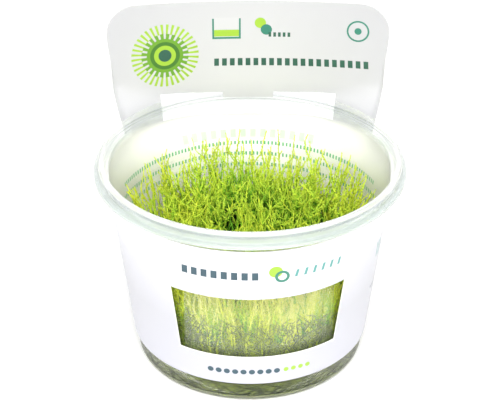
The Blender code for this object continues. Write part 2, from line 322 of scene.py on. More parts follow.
# a milky panel on the front wall, short of its two sides, is a painted reflection of the bright floor; beside
# it the plastic is clearer and the moss shows darker, a painted shade
middle, reach = cupSettings["paintedReflectionAcross"]
inPaintedReflection = addNode(tree, "ShaderNodeMath", (axes["X"], middle, reach), operation="COMPARE")
atSides = addNode(tree, "ShaderNodeMath", (1.0, inPaintedReflection), operation="SUBTRACT")
onWindow = addNode(tree, "ShaderNodeMath", (height, *cupSettings["paintedReflectionUp"]), operation="COMPARE")
isClear = addNode(tree, "ShaderNodeMath", (atSides, onWindow), operation="MULTIPLY")
less = addNode(tree, "ShaderNodeMath", (isClear, -cupSettings["paintedReflectionShare"], 1.0), operation="MULTIPLY_ADD")
body = addNode(tree, "ShaderNodeMath", (body, less), operation="MULTIPLY")
# the rim shows less at the back, where the bright card stands behind it
atFront = addNode(tree, "ShaderNodeMapRange", {"Value": axes["Y"], **cupSettings["rimShare"]})
isBelow = addNode(tree, "ShaderNodeMath", (height, cupSettings["rimFoot"]), operation="LESS_THAN")
atFront = addNode(tree, "ShaderNodeMath", (atFront, isBelow), operation="MAXIMUM")
body = addNode(tree, "ShaderNodeMath", (body, atFront), operation="MULTIPLY")
finishMaterial(tree, {"Roughness": 0.02, "IOR": 1.49, "Base Color": tintAndPaintedLines, "Transmission Weight": clear,
                      "Alpha": body})
setMaterials(cup, plasticMaterial)
fitPiece(cup, "clear_plastic", "cup")
print("cup:", len(cup.data.polygons), "faces")


# nutrient gel: a thin cloudy layer on the cup's floor

gelSettings = {
    "top": 0.0070,
    "gap": -0.00003,  # the gel wets the plastic, so no air shows between them
    "heartGap": 0.00010,
    "segments": 128,
    "discRadius": 0.0015,
    "topCorner": 0.0003,
    "cloudScale": 260.0,  # clouds about 4 mm across
    "pale": "#8E9C40",
    "deep": "#65731C",
    "layers": (("nutrientGel", "gap", "hazyAgarGel", 0.15), ("gelHeart", "heartGap", "cloudyAgarGel", 1.0)),
}


def gelRings(gap):
    s = gelSettings
    fillet = cupSettings["footFillet"] - cupSettings["footWall"]
    base = cupSettings["footFloor"] + gap
    side = footInside(base) - gap
    top = s["top"] - max(0, gap)
    topSide = footInside(top) - gap
    rings = [(s["discRadius"], base)] + arcRings(side - fillet, base + fillet, fillet, -90, 0, 6)
    return rings + [(topSide, top), (topSide - s["topCorner"], top), (s["discRadius"], top)]


# set agar, moist and cloudy, stained olive by the moss: a hazy outer layer over the thick of it
for gelName, gapKey, materialName, alpha in gelSettings["layers"]:
    gel = turnedShell(gelName, gelRings(gelSettings[gapKey]), gelSettings["segments"])
    selectOnly(gel)
    bpy.ops.object.shade_smooth_by_angle(angle=math.radians(38))
    gelMaterial, tree = newMaterial(materialName)
    place = addNode(tree, "ShaderNodeTexCoord", give="Object")
    cloud = addNode(tree, "ShaderNodeTexNoise",
                    {"Vector": place, "Scale": gelSettings["cloudScale"], "Detail": 3.0})
    gelColour = addNode(tree, "ShaderNodeMix", {0: cloud, 6: gelSettings["pale"], 7: gelSettings["deep"]}, 2,
                        data_type="RGBA")
    finishMaterial(tree, {"Roughness": 0.30, "IOR": 1.34, "Alpha": alpha, "Base Color": gelColour})
    setMaterials(gel, gelMaterial)
    fitPiece(gel, "gel", "nutrient_gel")
print("gel ready")


# card sleeve: a band on a cone with its window, and the tall header with the slot for the rim

sleeveSettings = {
    "card": 0.00042,
    "bandBottom": 0.0083,
    "bandTop": 0.06155,
    "bandBottomRadius": 0.03885,
    "bandTopRadius": 0.0453,
    "windowBottom": 0.0194,
    "windowTop": 0.0432,
    "windowHalfAngle": math.radians(38.2),
    "windowTurn": math.radians(3.3),
    "windowFlare": 0.02,
    "headerHalfAngle": 0.97,
    "headerTop": 0.1035,
    "headerCorner": 0.0115,
    "headerRadius": 0.220,
    "headerPlace": 0.0446,
    "headerLean": 0.02,
    "slotHalfAngle": 0.628,
    "slotTop": 0.07025,
    "tabHalfAngle": 0.18,
    "tabBottom": 0.0681,
    "bulgeStart": 0.0500,
    "bulgeEndSlot": 0.0640,
    "bulgeEndEdge": 0.0760,
    "bulgeFadeAngle": 1.65,
    "stripFlare": 0.06,
    "stripFlareTop": 0.0920,
    "seamAngle": math.radians(-112),
    "columnStep": math.radians(2.2),
    "rowStep": 0.0016,
    "slotRowStep": 0.0008,
    "headerRows": 22,
    "cornerStep": 9,  # degrees
    "frontReach": 0.35,  # how far beside the window the front panel goes
    "flareFade": 0.30,
    "printShift": 200,  # on the flat print the front lies this many mm beside the back
}


def bandRadius(height):
    s = sleeveSettings
    share = (height - s["bandBottom"]) / (s["bandTop"] - s["bandBottom"])
    return s["bandBottomRadius"] + (s["bandTopRadius"] - s["bandBottomRadius"]) * share


def headerOffset(turn, height):
    s = sleeveSettings
    radius = bandRadius(height)
    bent = radius * turn / s["headerRadius"]
    stepIn = smoothStep((height - s["bandTop"]) / (s["tabBottom"] - s["bandTop"]))
    centre = s["bandTopRadius"] + (s["headerPlace"] - s["bandTopRadius"]) * stepIn
    centre += s["headerLean"] * max(height - s["slotTop"], 0)
    onHeader = Vector((math.sin(bent), math.cos(bent) - 1)) * s["headerRadius"] + Vector((0, centre))
    return onHeader - Vector((math.sin(turn), math.cos(turn))) * radius


def cardPoint(angle, height):  # angle from the header's centre line, positive towards +X
    s = sleeveSettings
    turn = abs(angle)
    held = min(turn, s["headerHalfAngle"])
    along = smoothStep((held - s["tabHalfAngle"]) / (s["headerHalfAngle"] - s["tabHalfAngle"]))
    end = s["bulgeEndSlot"] + (s["bulgeEndEdge"] - s["bulgeEndSlot"]) * along
    share = smoothStep((height - s["bulgeStart"]) / (end - s["bulgeStart"]))
    fade = 1 - smoothStep((turn - s["headerHalfAngle"]) / (s["bulgeFadeAngle"] - s["headerHalfAngle"]))
    shift = headerOffset(held, height) * share * fade
    outwards = shift.dot(Vector((math.sin(held), math.cos(held))))
    sideways = shift.dot(Vector((math.cos(held), -math.sin(held))))
    point = Vector((math.sin(turn), math.cos(turn))) * (bandRadius(height) + outwards)
    point += Vector((math.cos(turn), -math.sin(turn))) * sideways
    return Vector((math.copysign(point.x, angle), point.y, height))


def backAngle(angle, height):  # the strips widen where they run into the band
    s = sleeveSettings
    turn = abs(angle)
    if turn < s["headerHalfAngle"]:
        near = turn / s["headerHalfAngle"]
    else:
        near = max(0, (s["bulgeFadeAngle"] - turn) / (s["bulgeFadeAngle"] - s["headerHalfAngle"]))
    above = max(0, (s["stripFlareTop"] - height) / (s["stripFlareTop"] - s["bandTop"])) ** 2
    below = smoothStep((height - s["bulgeStart"]) / (s["bandTop"] - s["bulgeStart"]))
    return math.copysign(turn + s["stripFlare"] * near * (above if height > s["bandTop"] else below), angle)


def frontAngle(offset, height):  # offset from the window's centre line
    s = sleeveSettings
    middle = (s["windowBottom"] + s["windowTop"]) / 2
    lift = min(max((height - middle) / (s["windowTop"] - middle), -1), 1)
    return math.pi - s["windowTurn"] + offset * (1 + s["windowFlare"] * lift)


def headerEdge(angle):
    s = sleeveSettings
    over = (abs(angle) - s["headerHalfAngle"]) * bandRadius(s["headerTop"]) + s["headerCorner"]
    if over <= 0:
        return s["headerTop"]
    return s["headerTop"] - s["headerCorner"] + math.sqrt(max(s["headerCorner"] ** 2 - over ** 2, 0))


def filled(marks, step):  # every mark kept, and no gap between two values wider than the step
    values = [marks[0]]
    for mark in marks[1:]:
        count = max(1, math.ceil((mark - values[-1]) / step - 1e-6))
        start = values[-1]
        values += [start + (mark - start) * k / count for k in range(1, count + 1)]
    return values


def makeSleeve():
    s = sleeveSettings
    half, slot, tab = s["headerHalfAngle"], s["slotHalfAngle"], s["tabHalfAngle"]
    cornerAngles = [half - s["headerCorner"] / bandRadius(s["headerTop"]) * (1 - math.sin(math.radians(a)))
                    for a in range(0, 90, s["cornerStep"])]
    backMarks = [s["seamAngle"], -half] + [-a for a in reversed(cornerAngles)] + [-slot, -tab, tab, slot]
    backMarks += cornerAngles + [half]
    windowLeft = math.pi - s["windowTurn"] - s["windowHalfAngle"]
    windowRight = math.pi - s["windowTurn"] + s["windowHalfAngle"]
    backMarks = sorted(backMarks) + [windowLeft, windowRight, s["seamAngle"] + math.tau]
    columns = filled(backMarks, s["columnStep"])
    bandRows = filled([s["bandBottom"], s["windowBottom"], s["windowTop"], s["bandTop"]], s["rowStep"])
    slotRows = filled([s["bandTop"], s["tabBottom"], s["slotTop"]], s["slotRowStep"])[1:]
    headerShares = [k / s["headerRows"] for k in range(1, s["headerRows"] + 1)]
    rows = bandRows + slotRows + headerShares
    bandCount, slotCount = len(bandRows), len(slotRows)

    deselectAll()
    bpy.ops.mesh.primitive_grid_add(x_subdivisions=len(columns) - 1, y_subdivisions=len(rows) - 1, size=2)
    sleeve = bpy.context.object
    sleeve.name = "cardSleeve"
    mesh = sleeve.data
    mesh.name = "cardSleeve"

    def gridPlace(co):
        return round((co.x + 1) / 2 * (len(columns) - 1)), round((co.y + 1) / 2 * (len(rows) - 1))

    places = [gridPlace(v.co) for v in mesh.vertices]

    def isOpen(column, row):  # the cell between this column and row and the next ones
        angle = (columns[column] + columns[column + 1]) / 2
        if row >= bandCount - 1:
            if abs(angle) > half:
                return True
            if row < bandCount - 1 + slotCount and abs(angle) < slot:
                low = (bandRows + slotRows)[row]
                return not (abs(angle) < tab and low > s["tabBottom"] - 1e-6)
            return False
        middleHeight = (bandRows[row] + bandRows[row + 1]) / 2
        return windowLeft < angle < windowRight and s["windowBottom"] < middleHeight < s["windowTop"]

    def heightAt(column, row):
        if row < bandCount + slotCount:
            return (bandRows + slotRows)[row]
        top = headerEdge(min(max(columns[column], -half), half))
        return s["slotTop"] + (top - s["slotTop"]) * headerShares[row - bandCount - slotCount]

    def angleAt(column, height):
        angle = columns[column]
        if angle > windowLeft - s["frontReach"]:  # the front panel and what is beside it
            beyond = max(0.0, abs(angle - (windowLeft + windowRight) / 2) - s["windowHalfAngle"])
            offset = angle - (math.pi - s["windowTurn"])
            flared = frontAngle(offset, height)
            fadeOut = 1 - smoothStep(beyond / s["flareFade"])
            angle = angle + (flared - angle) * fadeOut
        else:
            angle = backAngle(angle, height)
        return angle - math.tau if angle > math.pi else angle

    bpy.ops.object.mode_set(mode="EDIT")
    bpy.ops.mesh.select_mode(type="FACE")
    bpy.ops.mesh.select_all(action="DESELECT")
    bpy.ops.object.mode_set(mode="OBJECT")
    uvLayer = mesh.uv_layers[0]
    uvLayer.name = "print"
    for face in mesh.polygons:
        corner = [places[v] for v in face.vertices]
        column = min(c for c, _ in corner)
        row = min(r for _, r in corner)
        face.select = isOpen(column, row)
        isFront = columns[column] > math.radians(95)
        for loop, (c, r) in zip(face.loop_indices, corner):
            height = heightAt(c, r)
            angle = math.pi - columns[c] if isFront else columns[c]
            across = bandRadius(height) * angle * 1000 + (s["printShift"] if isFront else 0)
            uvLayer.data[loop].uv = (across, height * 1000)
    for vertex, (c, r) in zip(mesh.vertices, places):
        height = heightAt(c, r)
        vertex.co = cardPoint(angleAt(c, height), height)
    bpy.ops.object.mode_set(mode="EDIT")
    bpy.ops.mesh.delete(type="FACE")
    bpy.ops.mesh.select_all(action="SELECT")
    bpy.ops.mesh.remove_doubles(threshold=0.00002)
    bpy.ops.mesh.normals_make_consistent(inside=False)
    bpy.ops.object.mode_set(mode="OBJECT")
    outward = sum(face.normal.dot(Vector((*face.center.xy, 0)).normalized()) * face.area
                  for face in mesh.polygons)
    if outward < 0:
        bpy.ops.object.mode_set(mode="EDIT")
        bpy.ops.mesh.select_all(action="SELECT")
        bpy.ops.mesh.flip_normals()
        bpy.ops.object.mode_set(mode="OBJECT")
    return sleeve


def boxMark(tree, across, up, centre, size):
    inWidth = addNode(tree, "ShaderNodeMath", (across, centre[0], size[0] / 2), operation="COMPARE")
    inHeight = addNode(tree, "ShaderNodeMath", (up, centre[1], size[1] / 2), operation="COMPARE")
    return addNode(tree, "ShaderNodeMath", (inWidth, inHeight), operation="MULTIPLY")


def ringMark(tree, flat, centre, radius, width):
    away = addNode(tree, "ShaderNodeVectorMath", (flat, (*centre, 0)), "Value", operation="DISTANCE")
    return addNode(tree, "ShaderNodeMath", (away, radius, width / 2), operation="COMPARE")


def discMark(tree, flat, centre, radius):
    away = addNode(tree, "ShaderNodeVectorMath", (flat, (*centre, 0)), "Value", operation="DISTANCE")
    return addNode(tree, "ShaderNodeMath", (away, radius), operation="LESS_THAN")


def rowMark(tree, across, up, centre, count, pitch, size, slant=0.0):  # upright or slanted bars side by side
    height = addNode(tree, "ShaderNodeMath", (up, centre[1]), operation="SUBTRACT")
    moved = addNode(tree, "ShaderNodeMath", (height, -slant, across), operation="MULTIPLY_ADD")
    start = centre[0] - count * pitch / 2
    local = addNode(tree, "ShaderNodeMath", (moved, start + pitch, start), operation="WRAP")
    isBar = addNode(tree, "ShaderNodeMath", (local, start + pitch / 2, size[0] / 2), operation="COMPARE")
    inRow = boxMark(tree, moved, up, centre, (count * pitch, size[1]))
    return addNode(tree, "ShaderNodeMath", (isBar, inRow), operation="MULTIPLY")


def rayMark(tree, flat, centre, count, radius, length, share):  # short rays round a centre
    arm = addNode(tree, "ShaderNodeVectorMath", (flat, (*centre, 0)), operation="SUBTRACT")
    axes = addNode(tree, "ShaderNodeSeparateXYZ", (arm,)).node.outputs
    step = math.tau / count
    turn = addNode(tree, "ShaderNodeMath", (axes["Y"], axes["X"]), operation="ARCTAN2")
    turn = addNode(tree, "ShaderNodeMath", (turn, step, 0.0), operation="WRAP")
    isRay = addNode(tree, "ShaderNodeMath", (turn, step / 2, step * share / 2), operation="COMPARE")
    inRing = ringMark(tree, flat, centre, radius, length)
    return addNode(tree, "ShaderNodeMath", (isRay, inRing), operation="MULTIPLY")


def dotRow(tree, across, up, centre, count, pitch, radius):
    start = centre[0] - count * pitch / 2
    local = addNode(tree, "ShaderNodeMath", (across, start + pitch, start), operation="WRAP")
    spot = addNode(tree, "ShaderNodeCombineXYZ", (local, up))
    isDot = discMark(tree, spot, (start + pitch / 2, centre[1]), radius)
    inRow = boxMark(tree, across, up, centre, (count * pitch, pitch * 2))
    return addNode(tree, "ShaderNodeMath", (isDot, inRow), operation="MULTIPLY")


inkSettings = {
    "slate": "#33505C",
    "teal": "#36806C",
    "mint": "#5B9C97",
    "lime": "#9CC03A",
    "leaf": "#6B9C2C",
    "moss": "#437626",
    "pine": "#2F5E4C",
    "sage": "#5FAA7C",
    "mist": "#C6E4C2",
    "headerGrey": "#C6C6C6",
}
cardSettings = {
    # height in mm and the card's tone there, with painted shade: the white card darker towards the bottom
    # outside, and grey on the header inside
    "outerToneAndShade": [(8, "#C1C1CA"), (30, "#BEBEC4"), (47, "#CECED4"), (57, "#E8E8EA")],
    "innerToneAndShade": [(60, "#F3F3EB"), (62, "#BFBFC3"), (74, "#CFCFCE"), (104, "#BFBFC0")],
    "cutTones": [(8, "#EFEFEC"), (104, "#E2E2DE")],
    "headerShade": {"From Min": 8.0, "From Max": 50.0, "To Max": 0.50},  # the header's two ends turn away
    "headerTone": "#ABABAF",
    "wallShade": {"From Min": 8.0, "From Max": 46.0, "To Max": 0.62},  # so do the sides of the inner wall
    "wallTone": "#BCBDB4",
    "cloudScale": 45.0,  # clouds about 20 mm across
    "cloudShare": 0.06,
    "cloudTone": "#C4C4C4",
    "fibreScale": 900.0,  # fibres about 1 mm long
    "fibreRelief": {"Strength": 0.12, "Distance": 0.00004},
    "glow": 0.10,  # painted light: the band's inner face glows, for the light that comes through the card from behind
}


def cardTree(material, marks, tones, isInner, roughness, coat):
    s = cardSettings
    tree = material.node_tree
    place = addNode(tree, "ShaderNodeTexCoord", give="Object")
    fibre = addNode(tree, "ShaderNodeTexNoise", {"Vector": place, "Scale": s["fibreScale"], "Detail": 2.0})
    cloud = addNode(tree, "ShaderNodeTexNoise", {"Vector": place, "Scale": s["cloudScale"], "Detail": 1.0})
    flat = addNode(tree, "ShaderNodeUVMap", uv_map="print")
    axes = addNode(tree, "ShaderNodeSeparateXYZ", (flat,)).node.outputs
    across, up = axes["X"], axes["Y"]
    low, high = tones[0][0], tones[-1][0]
    share = addNode(tree, "ShaderNodeMapRange", {"Value": up, "From Min": low, "From Max": high})
    colour = addNode(tree, "ShaderNodeValToRGB", (share,),
                     stops=[((mark - low) / (high - low), code) for mark, code in tones])
    layers = []  # what lies on the card's own tone, each a mask and a colour
    glowSockets = {}
    if isInner:
        aside = addNode(tree, "ShaderNodeMath", (across,), operation="ABSOLUTE")
        bandTop = 1000 * sleeveSettings["bandTop"]
        inHeader = addNode(tree, "ShaderNodeMath", (up, bandTop), operation="GREATER_THAN")
        shade = addNode(tree, "ShaderNodeMapRange", {"Value": aside, **s["headerShade"]})
        shade = addNode(tree, "ShaderNodeMath", (shade, inHeader), operation="MULTIPLY")
        layers.append((shade, s["headerTone"]))
        shade = addNode(tree, "ShaderNodeMapRange", {"Value": aside, **s["wallShade"]})
        shade = addNode(tree, "ShaderNodeMath", (shade, inHeader), operation="SUBTRACT", use_clamp=True)
        layers.append((shade, s["wallTone"]))
    cloud = addNode(tree, "ShaderNodeMath", (cloud, s["cloudShare"]), operation="MULTIPLY")
    layers.append((cloud, s["cloudTone"]))
    for kind, ink, *numbers in marks:
        if kind in ("ring", "disc", "rays"):
            mask = {"ring": ringMark, "disc": discMark, "rays": rayMark}[kind](tree, flat, *numbers)
        else:
            mask = {"box": boxMark, "row": rowMark, "dots": dotRow}[kind](tree, across, up, *numbers)
        layers.append((mask, inkSettings[ink]))
    for mask, tone in layers:
        colour = addNode(tree, "ShaderNodeMix", {0: mask, 6: colour, 7: tone}, 2, data_type="RGBA")
    if isInner:  # painted light: the band's inner face glows, for the light that comes through it from behind
        through = addNode(tree, "ShaderNodeMix", {0: inHeader, 6: colour, 7: "#000000"}, 2, data_type="RGBA")
        glowSockets = {"Emission Strength": s["glow"], "Emission Color": through}
    relief = addNode(tree, "ShaderNodeBump", {"Height": fibre, **s["fibreRelief"]})
    finishMaterial(tree, {"Roughness": roughness, "Coat Weight": coat, "Coat Roughness": 0.25, "IOR": 1.5,
                          "Subsurface Weight": 0.7, "Subsurface Radius": (0.5, 0.5, 0.5),
                          "Subsurface Scale": 0.001, "Base Color": colour, "Normal": relief, **glowSockets})


# Places on the flat print, all in mm: header and back wall marks lie round 0 across, front marks round the
# print's shift, and heights are the cup's. Each mark: kind, ink, centre, then its sizes.
perDegree = 0.74  # mm of print on the band for each degree of turn
frontMiddle = sleeveSettings["printShift"] + perDegree * math.degrees(sleeveSettings["windowTurn"])
outerMarks = [
    ("row", "slate", (frontMiddle - 12.4, 52.2), 8, 3.1, (1.9, 2.9)),
    ("disc", "lime", (frontMiddle + 4.6, 53.6), 2.1),
    ("ring", "teal", (frontMiddle + 6.6, 51.6), 1.8, 0.9),
    ("row", "mint", (frontMiddle + 18.4, 52.2), 6, 2.9, (0.9, 2.7), 0.25),
    ("dots", "slate", (frontMiddle - 5.2, 13.3), 9, 2.7, 1.0),
    ("dots", "lime", (frontMiddle + 12.4, 13.3), 4, 2.5, 0.85),
    ("row", "mint", (253.0, 44.0), 3, 1.6, (0.7, 6.0)),
    ("dots", "slate", (252.0, 29.0), 4, 1.5, 0.5),
]
badge = (-28.0, 84.6)
innerMarks = [("rays", "lime", badge, 36, 9.6, 3.6, 0.45), ("rays", "leaf", badge, 24, 7.0, 2.0, 0.60)]
for radius, ink in ((6.2, "leaf"), (5.0, "moss"), (3.7, "lime"), (2.2, "pine")):
    innerMarks.append(("disc", ink, badge, radius))
innerMarks += [
    ("box", "teal", (-7.2, 93.6), (9.6, 7.4)), ("box", "headerGrey", (-7.2, 94.1), (8.4, 7.0)),
    ("box", "lime", (-7.2, 92.0), (8.4, 2.4)),
    ("disc", "lime", (4.2, 95.6), 1.9), ("disc", "teal", (6.2, 93.2), 1.9),
    ("row", "pine", (10.6, 91.4), 5, 1.6, (0.9, 1.6)),
    ("ring", "teal", (37.0, 93.6), 3.5, 0.6), ("disc", "teal", (37.0, 93.6), 1.2),
    ("row", "pine", (14.6, 81.4), 20, 2.65, (1.6, 2.7)),
    ("row", "mist", (0, 54.2), 14, 3.4, (2.0, 3.0)),
]
for up, count in ((50.8, 84), (46.8, 88), (42.8, 86)):
    innerMarks.append(("row", "sage", (0, up), count, 1.3, (0.62, 1.3)))

sleeve = makeSleeve()
bpy.ops.object.modifier_add(type="SOLIDIFY")
solidify = sleeve.modifiers[-1]
solidify.thickness = sleeveSettings["card"]
solidify.offset = 0
solidify.use_even_offset = True
solidify.material_offset = 1
solidify.material_offset_rim = 2
cardMaterials = [newMaterial(name)[0] for name in ("coatedCardFace", "uncoatedCardBack", "cutCardEdge")]
cardFace, cardBack, cutEdge = cardMaterials
cardTree(cardFace, outerMarks, cardSettings["outerToneAndShade"], False, 0.42, 0.15)  # smooth clay coat, printed
cardTree(cardBack, innerMarks, cardSettings["innerToneAndShade"], True, 0.60, 0.0)  # plain pulp, a little rougher
cardTree(cutEdge, [], cardSettings["cutTones"], False, 0.80, 0.0)  # cut fibres show at the edge
setMaterials(sleeve, *cardMaterials)
bpy.ops.object.modifier_apply(modifier=solidify.name)
bpy.ops.object.shade_smooth_by_angle(angle=math.radians(35))
fitPiece(sleeve, "card", "sleeve")
print("sleeve:", len(sleeve.data.polygons), "faces")


# moss: a dark matted core and the leafy shoots that grow from it

mossSettings = {
    "seed": 11,
    "top": 0.0315,
    "lumps": 0.00175,
    "mound": 0.0060,
    "moundPlace": 0.0120,
    "moundWidth": 0.0140,
    "tuftCount": 64,
    "tuftSpread": 0.0345,
    "tuftLow": 0.0500,
    "tuftHigh": 0.0620,
    "tuftLean": 0.0045,
    "tuftSway": 0.0012,
    "tuftOutward": 1.04,
    "tuftBend": 0.45,
    "tuftSunk": 0.0060,
    "tuftWallGap": 0.0022,
}

# one shoot: a thin stem with its leaves
shootSettings = {
    "stemRadius": 0.00026,
    "stemTaper": 0.55,
    "leafLength": 0.00085,
    "leafHalfWidth": 0.00024,
    "leafSpacing": 0.00047,
    "leafTurn": math.radians(137.5),  # the golden angle, as leaves spiral on a stem
    "leafScatter": 0.4,
    "leafSpread": (20, 50),  # degrees off the stem
    "leafSize": (0.6, 1.2),
    "budFrom": 0.88,  # from here up the leaves get smaller and close into a bud
    "budClosed": 0.6,
    "budSmaller": 0.35,
    "widestAt": 0.38,
    "keelDepth": 0.09,
    "tipOut": 0.22,
    "ahead": 0.01,  # how far along the stem its direction is read
}


def mossHeight(x, y):
    s = mossSettings
    lumps = np.sin(190 * x + 1.3) * np.cos(170 * y + 0.4) + 0.6 * np.sin(330 * x - 250 * y)
    away = x ** 2 + (y - s["moundPlace"]) ** 2
    return s["top"] + s["lumps"] * lumps + s["mound"] * np.exp(-away / (2 * s["moundWidth"] ** 2))


def tuftLayout():  # root, middle and tip of each tuft, as the solid has them
    s = mossSettings
    rng = random.Random(s["seed"])
    tufts = []
    for k in range(s["tuftCount"]):
        spread = s["tuftSpread"] * math.sqrt((k + 0.5) / s["tuftCount"])
        turn = k * math.pi * (3 - math.sqrt(5))
        root = Vector((spread * math.cos(turn), spread * math.sin(turn)))
        height = rng.uniform(s["tuftLow"], s["tuftHigh"])
        tip = root * s["tuftOutward"] + Vector((rng.uniform(-1, 1), rng.uniform(-1, 1))) * s["tuftLean"]
        limit = wallInside(height) - s["tuftWallGap"]
        if tip.length > limit:
            tip = tip.normalized() * limit
        sway = Vector((rng.uniform(-1, 1), rng.uniform(-1, 1))) * s["tuftSway"]
        middle = root.lerp(tip, s["tuftBend"]) + sway
        tufts.append(((*root, s["top"] - s["tuftSunk"]),
                      (*middle, s["top"] + (height - s["top"]) * s["tuftBend"]), (*tip, height)))
    return np.array(tufts)


def shootPoints(shoots, t):  # places at the shares t along every shoot, with a slow wave across
    root, bend, tip = (shoots[name][:, None, :] for name in ("root", "bend", "tip"))
    t = t[..., None]
    places = (1 - t) ** 2 * root + 2 * t * (1 - t) * bend + t ** 2 * tip
    wave = shoots["wave"][:, None, :]
    phase = shoots["phase"][:, None, None] + t * shoots["turns"][:, None, None] * math.tau
    swing = np.sin(t * math.pi / 2)
    places[..., 0:1] += wave[..., 0:1] * np.sin(phase) * swing
    places[..., 1:2] += wave[..., 1:2] * np.cos(phase * 1.13) * swing
    return places


def unit(vectors):
    return vectors / np.maximum(np.linalg.norm(vectors, axis=-1, keepdims=True), 1e-12)


def sideVectors(along):
    first = unit(np.cross(along, np.broadcast_to((0.9, 0.35, 0.1), along.shape)))
    return first, np.cross(along, first)


def growShoots(name, shoots, rng, leafFrom=0.0, stemPoints=9):
    s = shootSettings
    count = len(shoots["root"])
    length = np.linalg.norm(shoots["bend"] - shoots["root"], axis=1)
    length += np.linalg.norm(shoots["tip"] - shoots["bend"], axis=1)
    # stems: three-sided tubes that thin towards the tip
    t = np.broadcast_to(np.linspace(0, 1, stemPoints), (count, stemPoints))
    places = shootPoints(shoots, t)
    along = unit(shootPoints(shoots, t + s["ahead"]) - shootPoints(shoots, t - s["ahead"]))
    first, second = sideVectors(along)
    radius = s["stemRadius"] * shoots["size"][:, None] * (1 - s["stemTaper"] * t)
    rings = []
    for k in range(3):
        turn = k * math.tau / 3
        rings.append(places + (first * math.cos(turn) + second * math.sin(turn)) * radius[..., None])
    stemVertices = np.stack(rings, axis=2).reshape(-1, 3)  # shoot, point, side
    base = (np.arange(count)[:, None, None] * stemPoints + np.arange(stemPoints - 1)[None, :, None]) * 3
    side = np.arange(3)[None, None, :]
    nextSide = (side + 1) % 3
    quads = np.stack([base + side, base + nextSide, base + 3 + nextSide, base + 3 + side], axis=-1)
    quads = quads.reshape(-1, 4)
    start = np.arange(count) * stemPoints * 3
    end = start + (stemPoints - 1) * 3
    caps = [np.stack([start + 2, start + 1, start], axis=1), np.stack([end, end + 1, end + 2], axis=1)]
    # leaves: small closed keeled blades that spiral round the stem and close up at the tip
    perShoot = np.maximum(3, (length * (1 - leafFrom) / (s["leafSpacing"] * shoots["size"])).astype(int))
    owner = np.repeat(np.arange(count), perShoot)
    order = np.arange(len(owner)) - np.repeat(np.cumsum(perShoot) - perShoot, perShoot)
    share = leafFrom + (1 - leafFrom) * (order + 0.6) / perShoot[owner]
    picked = {key: value[owner] for key, value in shoots.items()}
    leafPlace = shootPoints(picked, share[:, None])[:, 0]
    leafShare = share[:, None]
    leafAlong = shootPoints(picked, leafShare + s["ahead"]) - shootPoints(picked, leafShare - s["ahead"])
    leafAlong = unit(leafAlong)[:, 0]
    firstSide, secondSide = sideVectors(leafAlong)
    turn = order * s["leafTurn"] + rng.uniform(-s["leafScatter"], s["leafScatter"], len(owner))
    outward = firstSide * np.cos(turn)[:, None] + secondSide * np.sin(turn)[:, None]
    inBud = np.clip((share - s["budFrom"]) / (1 - s["budFrom"]), 0, 1)
    spread = np.radians(rng.uniform(*s["leafSpread"], len(owner)) * (1 - s["budClosed"] * inBud))
    blade = leafAlong * np.cos(spread)[:, None] + outward * np.sin(spread)[:, None]
    across = unit(np.cross(leafAlong, outward))
    keel = np.cross(blade, across)
    size = (rng.uniform(*s["leafSize"], len(owner)) * picked["size"] * (1 - s["budSmaller"] * inBud))[:, None]
    leafLength, halfWidth = s["leafLength"] * size, s["leafHalfWidth"] * size
    wide = leafPlace + blade * leafLength * s["widestAt"] + keel * leafLength * s["keelDepth"]
    tipPlace = leafPlace + unit(blade + outward * s["tipOut"]) * leafLength
    leafVertices = np.stack(
        [leafPlace, wide + across * halfWidth, wide - across * halfWidth, tipPlace], axis=1)
    offset = len(stemVertices) + np.arange(len(owner)) * 4
    pattern = np.array([(0, 1, 2), (0, 3, 1), (0, 2, 3), (1, 3, 2)])
    triangles = (offset[:, None, None] + pattern[None]).reshape(-1, 3)
    vertices = np.concatenate([stemVertices, leafVertices.reshape(-1, 3)])
    triangles = np.concatenate([*caps, triangles])
    mesh = bpy.data.meshes.new(name)
    mesh.vertices.add(len(vertices))
    mesh.vertices.foreach_set("co", vertices.astype(np.float32).ravel())
    loops = np.concatenate([quads.ravel(), triangles.ravel()]).astype(np.int32)
    mesh.loops.add(len(loops))
    mesh.loops.foreach_set("vertex_index", loops)
    starts = np.concatenate([np.arange(len(quads)) * 4, len(quads) * 4 + np.arange(len(triangles)) * 3])
    starts = starts.astype(np.int32)
    mesh.polygons.add(len(starts))
    mesh.polygons.foreach_set("loop_start", starts)
    # how far up its shoot each point is, and a number of its own for every shoot, for the colours
    rise = np.concatenate([np.repeat(t.reshape(-1), 3), np.repeat(share, 4)])
    own = np.concatenate([np.repeat(shoots["own"], stemPoints * 3), np.repeat(picked["own"], 4)])
    for key, values in (("rise", rise), ("own", own)):
        layer = mesh.attributes.new(key, "FLOAT", "POINT")
        layer.data.foreach_set("value", values.astype(np.float32))
    mesh.update(calc_edges=True)
    mesh.validate()
    piece = bpy.data.objects.new(name, mesh)
    bpy.context.scene.collection.objects.link(piece)
    print(name, "-", count, "shoots,", len(quads) * 2 + len(triangles), "triangles")
    return piece


def shootSet(root, bend, tip, rng, wave=0.0007, size=(0.85, 1.1), turns=(0.6, 1.5)):
    count = len(root)
    return {
        "root": root, "bend": bend, "tip": tip,
        "wave": rng.uniform(-wave, wave, (count, 2)),
        "phase": rng.uniform(0, math.tau, count),
        "turns": rng.uniform(*turns, count),
        "size": rng.uniform(*size, count),
        "own": rng.uniform(0, 1, count),
    }


def keepInside(points, gap):
    radius = np.hypot(points[:, 0], points[:, 1])
    limit = wallInside(points[:, 2]) - gap
    factor = np.minimum(1, limit / np.maximum(radius, 1e-9))
    points[:, 0] *= factor
    points[:, 1] *= factor
    return points


def randomDisc(rng, count, radius):
    turn = rng.uniform(0, math.tau, count)
    away = radius * np.sqrt(rng.uniform(0, 1, count))
    return np.stack([away * np.cos(turn), away * np.sin(turn)], axis=1)


